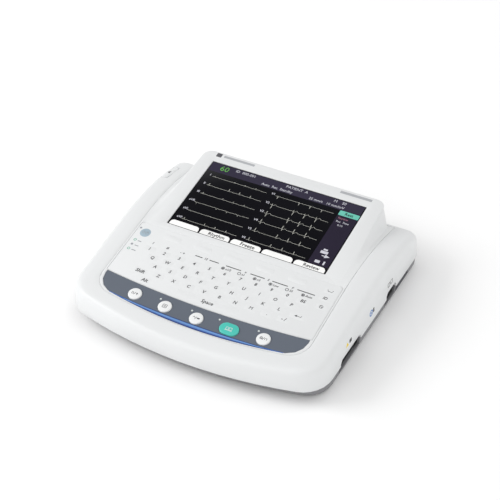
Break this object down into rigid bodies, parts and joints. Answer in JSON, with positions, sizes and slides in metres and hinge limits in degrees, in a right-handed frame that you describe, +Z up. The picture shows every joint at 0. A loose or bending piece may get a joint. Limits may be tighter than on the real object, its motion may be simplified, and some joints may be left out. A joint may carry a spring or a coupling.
{
  "type": "desktop ecg machine",
  "caption": "Desktop electrocardiograph with a sloping colour display, membrane keyboard, push keys and a side-loading paper recorder with a sliding magazine.",
  "frame": {"origin": "on the table under the middle of the case", "axes": "+X to the right as seen by the operator, +Y to the rear, +Z up"},
  "size_m": [0.2474, 0.214, 0.0604],
  "materials": {
    "white_plastic": "fine satin texture",
    "grey_plastic": "fine satin texture",
    "dark_plastic": "satin",
    "steel": "machined",
    "sheet_metal": "folded sheet",
    "circuit_board": "solder mask",
    "display_glass": "clear hard-coated window",
    "lcd_metal": "stamped frame",
    "film": "printed polyester film",
    "strip_grey": "satin",
    "trim_blue": "clear-coated",
    "key_white": "satin",
    "key_green": "satin",
    "lamp": "light pipe",
    "paper": "folded thermal paper",
    "rubber": "moulded",
    "nylon": "natural nylon",
    "brass": "turned",
    "bronze": "sintered",
    "motor_can": "zinc plated",
    "print_head": "ceramic strip on a heat sink",
    "transformer": "taped winding",
    "battery": "shrink sleeve",
    "card": "moulded"
  },
  "bodies": {
    "case": {"amplifier_board": "circuit_board", "amplifier_shield": "sheet_metal", "battery_cover": "grey_plastic", "battery_pack": "battery", "card_socket": "dark_plastic", "case_screw_1": "steel", "case_screw_2": "steel", "case_screw_3": "steel", "case_screw_4": "steel", "centre_cover": "white_plastic", "chassis_plate": "sheet_metal", "control_strip": "strip_grey", "display_window": "display_glass", "feed_motor": "motor_can", "foot_1": "rubber", "foot_2": "rubber", "foot_3": "rubber", "foot_4": "rubber", "ground_terminal": "brass", "head_spring_front": "steel", "head_spring_rear": "steel", "idler_pin": "steel", "keyboard_film": "film", "lcd_module": "lcd_metal", "lower_case": "grey_plastic", "main_board": "circuit_board", "mains_inlet": "dark_plastic", "network_port": "dark_plastic", "patient_connector": "dark_plastic", "platen_bush_front": "bronze", "platen_bush_rear": "bronze", "power_board": "circuit_board", "print_head": "print_head", "recorder_frame": "sheet_metal", "service_port": "dark_plastic", "speaker": "dark_plastic", "status_lamp_1": "lamp", "status_lamp_2": "lamp", "status_lamp_3": "lamp", "status_lamp_4": "lamp", "switch_board": "circuit_board", "transformer": "transformer", "trim_strip": "trim_blue", "upper_case": "white_plastic"},
    "release_button": {"release_button": "white_plastic"},
    "function_key_1": {"function_key_1": "key_white"},
    "function_key_2": {"function_key_2": "key_white"},
    "function_key_3": {"function_key_3": "key_white"},
    "start_key": {"start_key": "key_green"},
    "function_key_4": {"function_key_4": "key_white"},
    "magazine": {"magazine_tray": "grey_plastic", "magazine_door": "white_plastic", "paper_pack": "paper"},
    "platen": {"platen_shaft": "steel", "platen_roller": "rubber", "platen_gear": "nylon"},
    "idler": {"idler_gear": "nylon"},
    "pinion": {"motor_pinion": "brass"},
    "memory_card": {"memory_card": "card"}
  },
  "joints": [
    {"name": "function_key_1_press", "type": "slide", "parent": "case", "child": "function_key_1", "axis": [0, 0.1219, -0.9925], "range_m": [0, 0.001], "stiffness_N_per_m": 400},
    {"name": "function_key_2_press", "type": "slide", "parent": "case", "child": "function_key_2", "axis": [0, 0.1219, -0.9925], "range_m": [0, 0.001], "stiffness_N_per_m": 400},
    {"name": "function_key_3_press", "type": "slide", "parent": "case", "child": "function_key_3", "axis": [0, 0.1219, -0.9925], "range_m": [0, 0.001], "stiffness_N_per_m": 400},
    {"name": "start_key_press", "type": "slide", "parent": "case", "child": "start_key", "axis": [0, 0.1219, -0.9925], "range_m": [0, 0.001], "stiffness_N_per_m": 400},
    {"name": "function_key_4_press", "type": "slide", "parent": "case", "child": "function_key_4", "axis": [0, 0.1219, -0.9925], "range_m": [0, 0.001], "stiffness_N_per_m": 400},
    {"name": "release_button_press", "type": "slide", "parent": "case", "child": "release_button", "axis": [0, 0, -1], "range_m": [0, 0.0015], "stiffness_N_per_m": 400},
    {"name": "magazine_slide", "type": "slide", "parent": "case", "child": "magazine", "axis": [-1, 0, 0], "range_m": [0, 0.06]},
    {"name": "memory_card_slide", "type": "slide", "parent": "case", "child": "memory_card", "axis": [1, 0, 0], "range_m": [0, 0.02]},
    {"name": "platen_spin", "type": "hinge", "parent": "case", "child": "platen", "pos_m": [-0.106, 0, 0.025], "axis": [0, 1, 0], "continuous": true},
    {"name": "idler_spin", "type": "hinge", "parent": "case", "child": "idler", "pos_m": [-0.088, 0, 0.025], "axis": [0, 1, 0], "continuous": true},
    {"name": "pinion_spin", "type": "hinge", "parent": "case", "child": "pinion", "pos_m": [-0.0745, 0, 0.025], "axis": [0, 1, 0], "continuous": true}
  ],
  "couplings": [
    {"joint": "idler_spin", "follows": "platen_spin", "ratio": -1},
    {"joint": "pinion_spin", "follows": "platen_spin", "ratio": 2}
  ]
}
